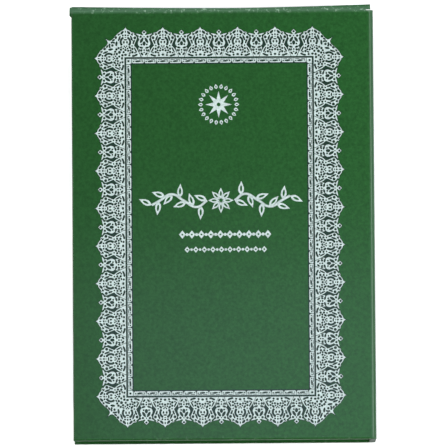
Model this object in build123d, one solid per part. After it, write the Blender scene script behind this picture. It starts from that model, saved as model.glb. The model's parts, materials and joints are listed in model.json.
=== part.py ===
from build123d import *
from math import sqrt
import os

# A qibla compass in a book-form case that lies closed on its back board.
# Millimetres. Origin at the middle of the underside, +X towards the spine,
# +Y towards the head of the front cover, +Z up out of the front cover.

# Case boards and paper
case_width = 70.0             # fore-edge to the outside of the spine
case_height = 100.0           # head to tail of the boards
board_thickness = 1.8         # greyboard of the two covers
spine_board_thickness = 1.2
paper_thickness = 0.2         # wrap, liners and turn-ins
turn_in = 8.0                 # wrap folded over onto the inside of a board
fold_radius = 0.3             # wrapped board edges, a little rounded
crease_radius = 1.0           # outer bend of the wrap at both creases
crease_clearance = 0.05       # wrap end to the bend it swings round
board_crease_gap = 0.1        # board edge to the bend
spine_setback = 0.4           # spine is shorter than the boards at each end
spine_board_relief = 0.3      # spine board ends this far from the crease axes
liner_inset = 2.0             # endpaper inside the board outline
liner_step = 0.2              # spine liner inside the spine board outline

# Tray
square = 1.2                  # boards overhang the tray on three sides
spine_gap = 0.3               # tray to the inside of the spine
tray_floor_thickness = 1.2
tray_wall_thickness = 1.8
deck_board_thickness = 1.5
deck_sheet_thickness = 0.3
rail_width = 2.2
seat_clearance = 0.05         # glued or laid pieces beside one another
cover_rest_gap = 0.05         # tray rim to the endpaper of the closed cover

# Compass cup
head_clearance = 3.4          # flange to the tray lining at the head
flange_clearance = 2.05       # flange to the tray lining at the sides
flange_band = 3.4             # flange outside the setting ring
ring_band = 3.8               # setting ring outside the cup wall
cup_wall = 1.8
cup_floor_thickness = 0.8
cup_drop = 4.9                # underside of the flange above the tray floor
flange_thickness = 0.8
cup_rise = 1.95               # cup rim above the flange
cup_edge = 0.3                # bevel of the cup rim
dial_ledge_width = 1.4
dial_ledge_height = 1.0       # above the cup floor
dial_thickness = 0.4
dial_hole_radius = 1.9
spacer_height = 2.9
spacer_width = 1.5
lens_thickness = 1.3
lens_edge = 0.25              # bevel of the lens
retainer_height = 0.5         # flat sprung ring above the lens
retainer_depth = 0.4          # part of it in the cup's groove
retainer_reach = 0.5          # part of it over the lens
retainer_gap_angle = 16.0
slip_fit = 0.06               # radial play of laid-in and turning pieces

# Flange screws
screw_count = 4
screw_head_radius = 1.1
screw_head_height = 0.7
screw_shank_radius = 0.7
screw_length = 2.2
screw_head_bevel = 0.25
screw_slot_width = 0.35
screw_slot_depth = 0.3
screw_hole_clearance = 0.1
pilot_clearance = 0.02

# Setting ring and what holds it
washer_thickness = 0.3
ring_float = 0.05             # axial play of the ring
ring_height = 1.8
ring_shoulder = 0.75          # clip seat above the underside of the ring
ring_bevel = 0.45
notch_count = 90              # coin-edge notches of the grip
notch_width = 1.0
notch_depth = 0.45
clip_thickness = 0.5
clip_groove_depth = 0.5
clip_reach = 0.9              # clip beyond the cup wall
clip_gap_angle = 24.0
clip_recess_clearance = 0.3
pointer_thickness = 0.4
pointer_width = 5.2
pointer_shoulder = 3.6        # straight part of the pointer before the arch
pointer_length = 8.6
pointer_edge = 0.4            # pointer foot inside the ring's bevel
rivet_head_radius = 0.7
rivet_head_height = 0.2
rivet_bevel = 0.15
rivet_shank_radius = 0.4
rivet_depth = 0.9             # shank below the pointer
rivet_spacing = 2.6

# Needle and pivot
pin_foot_radius = 1.0
pin_shoulder_radius = 1.5
pin_shoulder_height = 0.6
pin_shaft_radius = 0.55
pin_cone_height = 0.9
pin_tip_radius = 0.08
pin_tip_height = 1.65         # tip above the face of the dial
needle_gap = 1.64             # needle tip to the spacer ring
needle_width = 4.6
needle_thickness = 0.3
needle_height = 1.2           # underside of the blade above the dial
needle_slot_length = 5.0      # pierced window in each arm
needle_slot_width = 1.1
needle_slot_place = 6.2       # middle of the window from the pivot
hub_neck_radius = 1.5
hub_neck_drop = 0.3           # neck below the blade
hub_cap_radius = 2.3
hub_cap_height = 0.75
hub_dome = 0.45
jewel_radius = 1.1
jewel_height = 0.8
jewel_cup_radius = 0.75
tip_play = 0.04               # pin tip to the bottom of the jewel's cup
clip_place = 11.0             # balance clip from the pivot, on the south arm
balance_length = 1.4
balance_wall = 0.25

# List of places in its pocket
pocket_clearance = 0.7        # highest rivet to the pocket of the closed cover
pocket_thickness = 0.25
pocket_height = 34.0
pocket_flap = 3.2
pocket_room = 1.3             # pocket flap to the tray lining
booklet_thickness = 1.3
booklet_cover_thickness = 0.2
booklet_fold = 0.55           # rounding of the booklet's back
booklet_play = 0.1            # booklet, its staples counted, to the sides of the pocket
page_inset = 0.5
staple_length = 9.0
staple_spacing = 40.0
staple_wire = 0.4             # flat wire, as wide as it is thick
staple_leg = 1.4
staple_clearance = 0.03

# Levels, from the underside up
board_low = paper_thickness
board_high = board_low + board_thickness
tray_low = board_high + paper_thickness
floor_high = tray_low + tray_floor_thickness
dial_low = floor_high + cup_floor_thickness + dial_ledge_height
dial_high = dial_low + dial_thickness
lens_low = dial_high + spacer_height
lens_high = lens_low + lens_thickness
flange_low = floor_high + cup_drop
flange_high = flange_low + flange_thickness
cup_high = flange_high + cup_rise
deck_high = flange_low - deck_sheet_thickness
deck_low = deck_high - deck_board_thickness
washer_high = flange_high + washer_thickness
ring_low = washer_high + ring_float
ring_high = ring_low + ring_height
clip_low = ring_low + ring_shoulder + ring_float
clip_high = clip_low + clip_thickness
pointer_high = ring_high + pointer_thickness
rivet_high = pointer_high + rivet_head_height
pocket_low = rivet_high + pocket_clearance
booklet_low = pocket_low + pocket_thickness
booklet_high = booklet_low + booklet_thickness
endpaper_high = booklet_high + paper_thickness
front_low = endpaper_high + paper_thickness
front_high = front_low + board_thickness
case_thickness = front_high + paper_thickness
rim_high = booklet_high - cover_rest_gap

# Plan positions
half_width = case_width / 2
half_height = case_height / 2
hinge_x = half_width - crease_radius
rear_hinge_z = crease_radius
front_hinge_z = case_thickness - crease_radius
bend_inside = crease_radius - paper_thickness
wrap_end_x = hinge_x - sqrt(crease_radius ** 2 - bend_inside ** 2) - crease_clearance
board_end_x = hinge_x - crease_radius - board_crease_gap
board_left_x = -half_width + paper_thickness
board_y = half_height - paper_thickness
spine_outer_x = half_width - paper_thickness
spine_inner_x = spine_outer_x - spine_board_thickness
spine_y = half_height - spine_setback
spine_board_y = spine_y - paper_thickness
spine_board_low = rear_hinge_z + spine_board_relief
spine_board_high = front_hinge_z - spine_board_relief
tray_left_x = -half_width + square
tray_right_x = spine_inner_x - paper_thickness - spine_gap
tray_y = half_height - square
wall_left_x = tray_left_x + paper_thickness
wall_right_x = tray_right_x - paper_thickness
wall_y = tray_y - paper_thickness
room_left_x = wall_left_x + tray_wall_thickness
room_right_x = wall_right_x - tray_wall_thickness
room_y = wall_y - tray_wall_thickness
compass_x = (room_left_x + room_right_x) / 2
room_half = (room_right_x - room_left_x) / 2 - paper_thickness
flange_radius = room_half - flange_clearance
ring_radius = flange_radius - flange_band
cup_radius = ring_radius - ring_band
compass_y = room_y - paper_thickness - head_clearance - flange_radius
compass_place = Pos(compass_x, compass_y, 0)
cup_bore = cup_radius - cup_wall
screw_circle = (ring_radius + flange_radius) / 2
rivet_circle = ring_radius - ring_bevel - pointer_edge - rivet_head_radius
clip_groove_radius = cup_radius - clip_groove_depth
clip_radius = cup_radius + clip_reach
ring_bore = cup_radius + slip_fit
needle_length = 2 * (cup_bore - slip_fit - spacer_width - needle_gap)
needle_low = dial_high + needle_height
needle_high = needle_low + needle_thickness
neck_low = needle_low - hub_neck_drop
pin_tip_z = dial_high + pin_tip_height
pocket_gap = staple_wire + booklet_play
booklet_margin = pocket_room + pocket_flap + pocket_thickness + pocket_gap
booklet_left_x = compass_x - room_half + booklet_margin
booklet_right_x = compass_x + room_half - booklet_margin
booklet_y = room_y - paper_thickness - booklet_margin
fold_x = booklet_right_x - booklet_fold
staple_z = (booklet_low + booklet_high) / 2
staple_places = (-staple_spacing / 2, staple_spacing / 2)
pocket_foot_y = -booklet_y - pocket_gap - pocket_thickness


def block(left, right, low_y, high_y, low_z, high_z):
    size = (right - left, high_y - low_y, high_z - low_z)
    middle = ((left + right) / 2, (low_y + high_y) / 2, (low_z + high_z) / 2)
    return Pos(*middle) * Box(*size)


def turned(profile):
    # Turns a closed outline of (radius, height) points round the compass axis.
    face = make_face(Polyline(*profile, close=True))
    return compass_place * revolve(Plane.XZ * face, Axis.Z)


def ring(inner, outer, low, high):
    return turned([(inner, low), (outer, low), (outer, high), (inner, high)])


def around(angle, radius):
    return compass_place * Rot(0, 0, angle) * Pos(radius, 0, 0)


def gap_wedge(angle, radius, low, high):
    # The opening of a sprung ring, cut as a sector.
    half = angle / 2
    corner_a = Vector(radius, 0).rotate(Axis.Z, -half)
    corner_b = Vector(radius, 0).rotate(Axis.Z, half)
    face = make_face(Polyline((0, 0), (corner_a.X, corner_a.Y), (corner_b.X, corner_b.Y), close=True))
    return compass_place * Pos(0, 0, low) * extrude(face, high - low)


def wrapped_board(low, high, print_side_up):
    # Paper round a board: the outer sheet, three folded edges and their turn-ins.
    skin_low = low - paper_thickness
    skin_high = high + paper_thickness
    paper = block(-half_width, wrap_end_x, -half_height, half_height, skin_low, skin_high)
    outer_face = Axis.Z if print_side_up else -Axis.Z
    rim = paper.faces().sort_by(outer_face)[-1].edges()
    paper = fillet([edge for edge in rim if edge.center().X < wrap_end_x - fold_radius], fold_radius)
    paper -= block(board_left_x, half_width, -board_y, board_y, low, high)
    window_low = skin_low if print_side_up else high
    window_high = low if print_side_up else skin_high
    window_y = half_height - turn_in
    return paper - block(turn_in - half_width, half_width, -window_y, window_y, window_low, window_high)


def cover_board(low, high):
    return block(board_left_x, board_end_x, -board_y, board_y, low, high)


def back_liner():
    # Infill sheet between the turn-ins, so the tray glues down flat.
    left = turn_in - half_width + seat_clearance
    liner_y = half_height - turn_in - seat_clearance
    return block(left, board_end_x, -liner_y, liner_y, board_high, tray_low)


def front_endpaper():
    # Sheet over the turn-ins that sinks into the space between them.
    left = liner_inset - half_width
    sheet_y = half_height - liner_inset
    sheet = block(left, board_end_x, -sheet_y, sheet_y, booklet_high, endpaper_high)
    sunk_left = turn_in - half_width + seat_clearance
    sunk_y = half_height - turn_in - seat_clearance
    return sheet + block(sunk_left, board_end_x, -sunk_y, sunk_y, endpaper_high, front_low)


def spine_wrap():
    # One sheet that bends round both crease axes, drawn as its end view,
    # and folds over both ends of the spine board.
    start = (hinge_x, 0)
    rear = RadiusArc(start, (half_width, rear_hinge_z), -crease_radius)
    flat = Line(rear @ 1, (half_width, front_hinge_z))
    front = RadiusArc(flat @ 1, (hinge_x, case_thickness), -crease_radius)
    step = Line(front @ 1, (hinge_x, case_thickness - paper_thickness))
    front_inner = RadiusArc(step @ 1, (spine_outer_x, front_hinge_z), bend_inside)
    flat_inner = Line(front_inner @ 1, (spine_outer_x, rear_hinge_z))
    rear_inner = RadiusArc(flat_inner @ 1, (hinge_x, paper_thickness), bend_inside)
    close = Line(rear_inner @ 1, start)
    outline = make_face([rear, flat, front, step, front_inner, flat_inner, rear_inner, close])
    wrap = extrude(Plane.XZ * outline, spine_y, both=True)
    for low_y in (-spine_y, spine_board_y):
        high_y = low_y + paper_thickness
        wrap += block(spine_inner_x, spine_outer_x, low_y, high_y, spine_board_low, spine_board_high)
    return wrap


def spine_sheet(inner, outer, inset):
    sheet_y = spine_board_y - inset
    return block(inner, outer, -sheet_y, sheet_y, spine_board_low + inset, spine_board_high - inset)


def tray_floor():
    return block(wall_left_x, wall_right_x, -wall_y, wall_y, tray_low, floor_high)


def side_wall(outer, inner):
    left, right = sorted((outer, inner))
    return block(left, right, -wall_y, wall_y, floor_high, rim_high - paper_thickness)


def end_wall(outer, inner):
    low_y, high_y = sorted((outer, inner))
    return block(room_left_x, room_right_x, low_y, high_y, floor_high, rim_high - paper_thickness)


def tray_wrap():
    # Paper up the outside of the walls, over the rim and down to the deck.
    outside = block(tray_left_x, tray_right_x, -tray_y, tray_y, tray_low, rim_high)
    rim = outside.faces().sort_by(Axis.Z)[-1].edges()
    paper = fillet(rim, fold_radius)
    paper -= block(wall_left_x, wall_right_x, -wall_y, wall_y, tray_low, rim_high - paper_thickness)
    inner_low = flange_low + seat_clearance
    lining = block(room_left_x, room_right_x, -room_y, room_y, inner_low, rim_high)
    step = paper_thickness
    hollow_y = room_y - step
    hollow = block(room_left_x + step, room_right_x - step, -hollow_y, hollow_y, inner_low, rim_high)
    return (paper + lining) - hollow


def deck_rail(wall_x, direction):
    left, right = sorted((wall_x + direction * seat_clearance, wall_x + direction * rail_width))
    rail_y = room_y - seat_clearance
    return block(left, right, -rail_y, rail_y, floor_high, deck_low)


def deck_layer(low, high, hole_extra):
    left = room_left_x + seat_clearance
    right = room_right_x - seat_clearance
    layer_y = room_y - seat_clearance
    layer = block(left, right, -layer_y, layer_y, low, high)
    layer -= ring(0, cup_radius + hole_extra, low, high)
    for place in screw_places():
        layer -= place * Cylinder(screw_shank_radius + pilot_clearance, flange_high)
    return layer


def screw_places():
    first = 180 / screw_count
    turns = [first + index * 360 / screw_count for index in range(screw_count)]
    return [around(turn, screw_circle) * Pos(0, 0, flange_high) for turn in turns]


def compass_cup():
    ledge = cup_bore - dial_ledge_width
    groove = cup_bore + retainer_depth + slip_fit
    inner_floor = floor_high + cup_floor_thickness
    profile = [
        (pin_foot_radius + pilot_clearance, floor_high),
        (cup_radius, floor_high),
        (cup_radius, flange_low),
        (flange_radius, flange_low),
        (flange_radius, flange_high - cup_edge),
        (flange_radius - cup_edge, flange_high),
        (cup_radius, flange_high),
        (cup_radius, clip_low - pilot_clearance),
        (clip_groove_radius, clip_low - pilot_clearance),
        (clip_groove_radius, clip_high + pilot_clearance),
        (cup_radius, clip_high + pilot_clearance),
        (cup_radius, cup_high),
        (cup_bore + cup_edge, cup_high),
        (cup_bore, cup_high - cup_edge),
        (cup_bore, lens_high + retainer_height + pilot_clearance),
        (groove, lens_high + retainer_height + pilot_clearance),
        (groove, lens_high - pilot_clearance),
        (cup_bore, lens_high - pilot_clearance),
        (cup_bore, dial_low),
        (ledge, dial_low),
        (ledge, inner_floor),
        (pin_foot_radius + pilot_clearance, inner_floor),
    ]
    cup = turned(profile)
    for place in screw_places():
        cup -= place * Cylinder(screw_shank_radius + screw_hole_clearance, 3 * flange_thickness)
    return cup


def lens_retainer():
    high = lens_high + retainer_height
    spring = ring(cup_bore - retainer_reach, cup_bore + retainer_depth, lens_high, high)
    return spring - gap_wedge(retainer_gap_angle, 2 * cup_bore, lens_high, high)


def flange_screws():
    screws = []
    for place in screw_places():
        head = Pos(0, 0, screw_head_height / 2) * Cylinder(screw_head_radius, screw_head_height)
        head = chamfer(head.edges().sort_by(Axis.Z)[-1], screw_head_bevel)
        shank = Pos(0, 0, -screw_length / 2) * Cylinder(screw_shank_radius, screw_length)
        slot_z = screw_head_height - screw_slot_depth / 2
        slot = Pos(0, 0, slot_z) * Box(screw_slot_width, 2 * screw_head_radius, screw_slot_depth)
        screws.append(place * (head + shank - slot))
    return Compound(children=screws)


def pivot_pin():
    foot_high = floor_high + cup_floor_thickness
    profile = [
        (0, floor_high),
        (pin_foot_radius, floor_high),
        (pin_foot_radius, foot_high),
        (pin_shoulder_radius, foot_high),
        (pin_shoulder_radius, foot_high + pin_shoulder_height),
        (pin_shaft_radius, foot_high + pin_shoulder_height),
        (pin_shaft_radius, pin_tip_z - pin_cone_height),
        (pin_tip_radius, pin_tip_z),
        (0, pin_tip_z),
    ]
    return turned(profile)


def dial():
    return ring(dial_hole_radius, cup_bore - slip_fit, dial_low, dial_high)


def spacer_ring():
    # Sloped on the inside, as a watch's chapter ring is.
    outer = cup_bore - slip_fit
    profile = [
        (outer - spacer_width, dial_high),
        (outer, dial_high),
        (outer, lens_low),
        (outer - spacer_width / 2, lens_low),
    ]
    return turned(profile)


def lens():
    edge = cup_bore - slip_fit
    profile = [
        (0, lens_low),
        (edge, lens_low),
        (edge, lens_high - lens_edge),
        (edge - lens_edge, lens_high),
        (0, lens_high),
    ]
    return turned(profile)


def friction_washer():
    return ring(cup_radius + slip_fit, ring_radius - ring_bevel, flange_high, washer_high)


def setting_ring():
    recess = clip_radius + clip_recess_clearance
    shoulder = ring_low + ring_shoulder
    profile = [
        (ring_bore, ring_low),
        (ring_radius, ring_low),
        (ring_radius, ring_high - ring_bevel),
        (ring_radius - ring_bevel, ring_high),
        (recess, ring_high),
        (recess, shoulder),
        (ring_bore, shoulder),
    ]
    body = turned(profile)
    root = (ring_radius - notch_depth, 0)
    lip = ring_radius + notch_depth
    half = notch_width * (lip - root[0]) / (2 * notch_depth)
    notch = extrude(make_face(Polyline(root, (lip, -half), (lip, half), close=True)), ring_height)
    for index in range(notch_count):
        body -= compass_place * Rot(0, 0, index * 360 / notch_count) * Pos(0, 0, ring_low) * notch
    for place in rivet_places():
        body -= place * Cylinder(rivet_shank_radius + pilot_clearance, 2 * rivet_depth)
    return body


def setting_clip():
    clip = ring(clip_groove_radius + slip_fit, clip_radius, clip_low, clip_high)
    return clip - gap_wedge(clip_gap_angle, 2 * clip_radius, clip_low, clip_high)


def rivet_places():
    # Seen from the middle of the compass the pointer lies towards the head.
    offsets = (-rivet_spacing / 2, rivet_spacing / 2)
    return [compass_place * Pos(offset, rivet_circle, ring_high) for offset in offsets]


def qibla_pointer():
    # A niche-shaped plate whose arch points in over the lens.
    half = pointer_width / 2
    foot = sqrt((ring_radius - ring_bevel - pointer_edge / 2) ** 2 - half ** 2)
    spring = foot - pointer_shoulder
    tip = foot - pointer_length
    left = Line((-half, foot), (-half, spring))
    left_arch = TangentArc(left @ 1, (0, tip), tangent=(0, -1))
    right = Line((half, foot), (half, spring))
    right_arch = TangentArc(right @ 1, (0, tip), tangent=(0, -1))
    base = Line(left @ 0, right @ 0)
    outline = make_face([left, left_arch, right_arch, right, base])
    plate = compass_place * Pos(0, 0, ring_high) * extrude(outline, pointer_thickness)
    for place in rivet_places():
        plate -= place * Cylinder(rivet_shank_radius + pilot_clearance, 2 * rivet_depth)
    return plate


def pointer_rivets():
    rivets = []
    for place in rivet_places():
        head = Pos(0, 0, pointer_thickness + rivet_head_height / 2)
        head = head * Cylinder(rivet_head_radius, rivet_head_height)
        head = chamfer(head.edges().sort_by(Axis.Z)[-1], rivet_bevel)
        length = rivet_depth + pointer_thickness
        shank = Pos(0, 0, pointer_thickness - length / 2) * Cylinder(rivet_shank_radius, length)
        rivets.append(place * (head + shank))
    return Compound(children=rivets)


def needle_half_width(distance):
    return needle_width / 2 * (1 - distance / (needle_length / 2))


def needle_blade():
    # A pierced lozenge that points north, towards the head, at rest.
    reach = needle_length / 2
    half = needle_width / 2
    outline = make_face(Polyline((0, reach), (half, 0), (0, -reach), (-half, 0), close=True))
    outline -= Circle(hub_neck_radius + pilot_clearance)
    for side in (-1, 1):
        outline -= Pos(0, side * needle_slot_place) * Rot(0, 0, 90) * SlotOverall(
            needle_slot_length, needle_slot_width
        )
    return compass_place * Pos(0, 0, needle_low) * extrude(outline, needle_thickness)


def needle_hub():
    # Neck through the blade, cap above it, bored from below for the jewel.
    cap_high = needle_high + hub_cap_height
    bore = jewel_radius + pilot_clearance
    bore_high = neck_low + jewel_height
    profile = [
        (bore, neck_low),
        (hub_neck_radius, neck_low),
        (hub_neck_radius, needle_high),
        (hub_cap_radius, needle_high),
        (hub_cap_radius, cap_high - hub_dome),
        (hub_cap_radius - hub_dome, cap_high),
        (0, cap_high),
        (0, bore_high),
        (bore, bore_high),
    ]
    return turned(profile)


def needle_jewel():
    # Cup bearing that hangs on the tip of the pivot pin.
    high = neck_low + jewel_height
    profile = [
        (jewel_cup_radius, neck_low),
        (jewel_radius, neck_low),
        (jewel_radius, high),
        (0, high),
        (0, pin_tip_z + tip_play),
        (pin_tip_radius + tip_play, pin_tip_z + tip_play),
    ]
    return turned(profile)


def balance_clip():
    # Sleeve on the south arm that levels the needle.
    near = clip_place - balance_length / 2
    inner_half = needle_half_width(near) + pilot_clearance
    outer_half = inner_half + balance_wall
    inner_low = needle_low - pilot_clearance
    inner_high = needle_high + pilot_clearance
    far = clip_place + balance_length / 2
    sleeve = block(-outer_half, outer_half, -far, -near, inner_low - balance_wall, inner_high + balance_wall)
    return compass_place * (sleeve - block(-inner_half, inner_half, -far, -near, inner_low, inner_high))


def index_pocket():
    # Paper pocket glued to the endpaper by three flaps, open towards the head.
    left = booklet_left_x - pocket_gap
    right = booklet_right_x + pocket_gap
    mouth_y = pocket_foot_y + pocket_height
    wall = pocket_thickness
    body = block(left - wall, right + wall, pocket_foot_y, mouth_y, pocket_low, booklet_high)
    flap_low = booklet_high - wall
    flaps = block(
        left - wall - pocket_flap,
        right + wall + pocket_flap,
        pocket_foot_y - pocket_flap,
        mouth_y,
        flap_low,
        booklet_high,
    )
    return (body + flaps) - block(left, right, pocket_foot_y + wall, mouth_y, booklet_low, booklet_high)


def booklet_cover():
    # Card folded round the pages, its rounded fold towards the spine.
    card = block(booklet_left_x, booklet_right_x, -booklet_y, booklet_y, booklet_low, booklet_high)
    fold = card.faces().sort_by(Axis.X)[-1].edges().filter_by(Axis.Y)
    card = fillet(fold, booklet_fold)
    page_low = booklet_low + booklet_cover_thickness
    page_high = booklet_high - booklet_cover_thickness
    card -= block(booklet_left_x, fold_x, -booklet_y, booklet_y, page_low, page_high)
    return card - staple_legs(staple_clearance)


def booklet_pages():
    page_low = booklet_low + booklet_cover_thickness
    page_high = booklet_high - booklet_cover_thickness
    pages_y = booklet_y - page_inset
    pages = block(booklet_left_x + page_inset, fold_x, -pages_y, pages_y, page_low, page_high)
    return pages - staple_legs(staple_clearance)


def staple_legs(clearance):
    # Slots for the staples' legs through the fold and into the pages.
    half = staple_wire / 2 + clearance
    low_x = booklet_right_x - staple_leg - clearance
    legs = []
    for staple_y in staple_places:
        for side in (-1, 1):
            leg_y = staple_y + side * (staple_length - staple_wire) / 2
            low_y, high_y = leg_y - half, leg_y + half
            legs.append(block(low_x, booklet_right_x, low_y, high_y, staple_z - half, staple_z + half))
    return legs


def booklet_staples():
    # Flat wire bent to a U, its crown outside the booklet's back.
    half = staple_length / 2
    crown_x = booklet_right_x + staple_wire
    leg_x = booklet_right_x - staple_leg
    staples = []
    for staple_y in staple_places:
        outline = Polyline(
            (leg_x, staple_y - half),
            (crown_x, staple_y - half),
            (crown_x, staple_y + half),
            (leg_x, staple_y + half),
            (leg_x, staple_y + half - staple_wire),
            (booklet_right_x, staple_y + half - staple_wire),
            (booklet_right_x, staple_y - half + staple_wire),
            (leg_x, staple_y - half + staple_wire),
            close=True,
        )
        wire = extrude(make_face(outline), staple_wire)
        staples.append(Pos(0, 0, staple_z - staple_wire / 2) * wire)
    return Compound(children=staples)


nodes = {
    "back_board": cover_board(board_low, board_high),
    "back_wrap": wrapped_board(board_low, board_high, False),
    "back_liner": back_liner(),
    "tray_floor": tray_floor(),
    "tray_wall_left": side_wall(wall_left_x, room_left_x),
    "tray_wall_right": side_wall(wall_right_x, room_right_x),
    "tray_wall_top": end_wall(wall_y, room_y),
    "tray_wall_bottom": end_wall(-wall_y, -room_y),
    "tray_wrap": tray_wrap(),
    "deck_rail_left": deck_rail(room_left_x, 1),
    "deck_rail_right": deck_rail(room_right_x, -1),
    "deck_board": deck_layer(deck_low, deck_high, seat_clearance),
    "deck_sheet": deck_layer(deck_high, flange_low, seat_clearance),
    "compass_cup": compass_cup(),
    "flange_screws": flange_screws(),
    "pivot_pin": pivot_pin(),
    "dial": dial(),
    "spacer_ring": spacer_ring(),
    "lens": lens(),
    "lens_retainer": lens_retainer(),
    "friction_washer": friction_washer(),
    "setting_ring": setting_ring(),
    "setting_clip": setting_clip(),
    "qibla_pointer": qibla_pointer(),
    "pointer_rivets": pointer_rivets(),
    "needle_blade": needle_blade(),
    "needle_hub": needle_hub(),
    "needle_jewel": needle_jewel(),
    "balance_clip": balance_clip(),
    "spine_board": spine_sheet(spine_inner_x, spine_outer_x, 0),
    "spine_liner": spine_sheet(spine_inner_x - paper_thickness, spine_inner_x, liner_step),
    "spine_wrap": spine_wrap(),
    "front_board": cover_board(front_low, front_high),
    "front_wrap": wrapped_board(front_low, front_high, True),
    "front_endpaper": front_endpaper(),
    "index_pocket": index_pocket(),
    "booklet_cover": booklet_cover(),
    "booklet_pages": booklet_pages(),
    "booklet_staples": booklet_staples(),
}

os.makedirs("parts", exist_ok=True)
for name, shape in nodes.items():
    export_step(shape, f"parts/{name}.step")
    print(name, len(shape.solids()), round(shape.volume, 2))
print("case thickness", round(case_thickness, 3))
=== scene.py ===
import json
import math

import bmesh
import bpy
from mathutils import Matrix, Vector


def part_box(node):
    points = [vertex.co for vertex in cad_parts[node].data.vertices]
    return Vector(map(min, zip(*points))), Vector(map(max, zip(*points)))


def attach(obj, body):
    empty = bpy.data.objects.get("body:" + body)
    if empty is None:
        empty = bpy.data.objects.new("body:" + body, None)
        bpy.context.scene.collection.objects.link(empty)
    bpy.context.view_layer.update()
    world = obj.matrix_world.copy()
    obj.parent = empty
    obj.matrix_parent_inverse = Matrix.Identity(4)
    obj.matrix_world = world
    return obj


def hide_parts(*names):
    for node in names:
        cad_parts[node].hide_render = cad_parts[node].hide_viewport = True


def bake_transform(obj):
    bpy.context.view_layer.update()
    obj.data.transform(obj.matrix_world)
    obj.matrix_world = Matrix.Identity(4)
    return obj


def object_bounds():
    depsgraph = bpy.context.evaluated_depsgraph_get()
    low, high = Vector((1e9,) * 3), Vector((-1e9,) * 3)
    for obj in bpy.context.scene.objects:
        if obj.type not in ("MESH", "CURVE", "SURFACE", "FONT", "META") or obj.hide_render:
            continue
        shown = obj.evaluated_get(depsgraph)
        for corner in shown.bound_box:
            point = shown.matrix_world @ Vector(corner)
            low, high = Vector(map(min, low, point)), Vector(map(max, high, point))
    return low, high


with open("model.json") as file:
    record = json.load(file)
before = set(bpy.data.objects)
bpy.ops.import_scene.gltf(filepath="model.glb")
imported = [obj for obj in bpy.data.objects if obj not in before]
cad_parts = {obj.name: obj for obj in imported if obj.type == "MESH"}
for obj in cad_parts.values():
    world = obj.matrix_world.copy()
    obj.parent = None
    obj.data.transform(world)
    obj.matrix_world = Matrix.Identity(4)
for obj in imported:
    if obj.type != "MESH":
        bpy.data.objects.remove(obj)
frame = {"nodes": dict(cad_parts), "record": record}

cadLow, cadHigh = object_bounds()
nodes = frame["nodes"]
mm = 0.001

# places read from the frame, in metres
halfWidth, halfHeight, coverTop = cadHigh.x, cadHigh.y, cadHigh.z
joints = {joint["name"]: joint for joint in frame["record"]["behaviour"]["joints"]}
creaseX, _, frontCreaseZ = joints["cover_crease"]["pos_m"]
rearCreaseZ = joints["spine_crease"]["pos_m"][2]
compassX, compassY, _ = joints["ring_turn"]["pos_m"]
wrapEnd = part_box("front_wrap")[1].x
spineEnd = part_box("spine_wrap")[1].y
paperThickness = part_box("back_board")[0].z
creaseRadius = halfWidth - creaseX


def linear(hexColour):
    parts = [int(hexColour[i:i + 2], 16) / 255 for i in (1, 3, 5)]
    return [c / 12.92 if c <= 0.04045 else ((c + 0.055) / 1.055) ** 2.4 for c in parts] + [1.0]


def addNode(tree, kind, inputs=None, **settings):
    # inputs go by name or by number: Map Range takes 1 to 2 over to 3 to 4, a colour Mix goes from 6 to 7
    node = tree.nodes.new(kind)
    for key, value in settings.items():
        setattr(node, key, value)
    for key, value in (inputs or {}).items():
        if isinstance(value, bpy.types.NodeSocket):
            tree.links.new(value, node.inputs[key])
        else:
            node.inputs[key].default_value = value
    return node


def newMaterial(name, values):
    material = bpy.data.materials.new(name)
    material.use_nodes = True
    tree = material.node_tree
    tree.nodes.clear()
    shader = addNode(tree, "ShaderNodeBsdfPrincipled", values)
    addNode(tree, "ShaderNodeOutputMaterial", {"Surface": shader.outputs[0]})
    place = addNode(tree, "ShaderNodeTexCoord").outputs["Object"]
    return material, tree, shader, place


def addGrain(tree, shader, place, look):
    # fine grain in roughness and bump, sizes in millimetres
    grain = addNode(tree, "ShaderNodeTexNoise", {
        "Vector": place, "Scale": 1 / (look["grain"] * mm), "Detail": 3.0}).outputs[0]
    rough = addNode(tree, "ShaderNodeMapRange", {0: grain, 3: look["rough"][0], 4: look["rough"][1]})
    bump = addNode(tree, "ShaderNodeBump", {
        "Height": grain, "Strength": look["bump"], "Distance": look["depth"] * mm})
    tree.links.new(rough.outputs[0], shader.inputs["Roughness"])
    tree.links.new(bump.outputs[0], shader.inputs["Normal"])


def mottled(name, look, values):
    # two tones in soft patches under a fine grain
    material, tree, shader, place = newMaterial(name, values)
    patch = addNode(tree, "ShaderNodeTexNoise", {
        "Vector": place, "Scale": 1 / (look["patch"] * mm), "Detail": 4.0})
    tones = addNode(tree, "ShaderNodeMix", {
        0: patch.outputs[0], 6: linear(look["tones"][0]), 7: linear(look["tones"][1])}, data_type="RGBA")
    tree.links.new(tones.outputs[2], shader.inputs["Base Color"])
    if look.get("turned"):
        # the grain runs in rings round the compass axis
        centred = addNode(tree, "ShaderNodeMapping", {
            "Vector": place, "Location": (-compassX, -compassY, 0), "Scale": (1, 1, 0)})
        radius = addNode(tree, "ShaderNodeVectorMath", {0: centred.outputs[0]}, operation="LENGTH")
        place = addNode(tree, "ShaderNodeCombineXYZ", {0: radius.outputs["Value"]}).outputs[0]
    addGrain(tree, shader, place, look)
    return material


# offset-printed paper under satin varnish: green with faint ink mottle and painted shade towards the
# fore-edge, paler where it is rubbed, with a painted highlight on the bend
wrapLook = {
    "tones": ("#0C3310", "#18461B"), "patch": 0.65, "patchRange": (0.3, 0.7), "sideShade": (0.80, 1.02),
    "grain": 0.22, "rough": (0.42, 0.55), "bump": 0.25, "depth": 0.012, "varnish": 0.3,
    "bareEdge": (0.5, 0.15), "rubbedAndHighlit": "#3B5943", "bend": (33.6, 34.6), "bendRubAndHighlight": 0.5, "wearWidth": 1.1,
    "headRub": 0.9, "lipStart": 0.1, "tailRub": 0.15, "worn": "#93AB98", "wearGrain": 0.9,
    "wornRange": (0.56, 0.70)}


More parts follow.
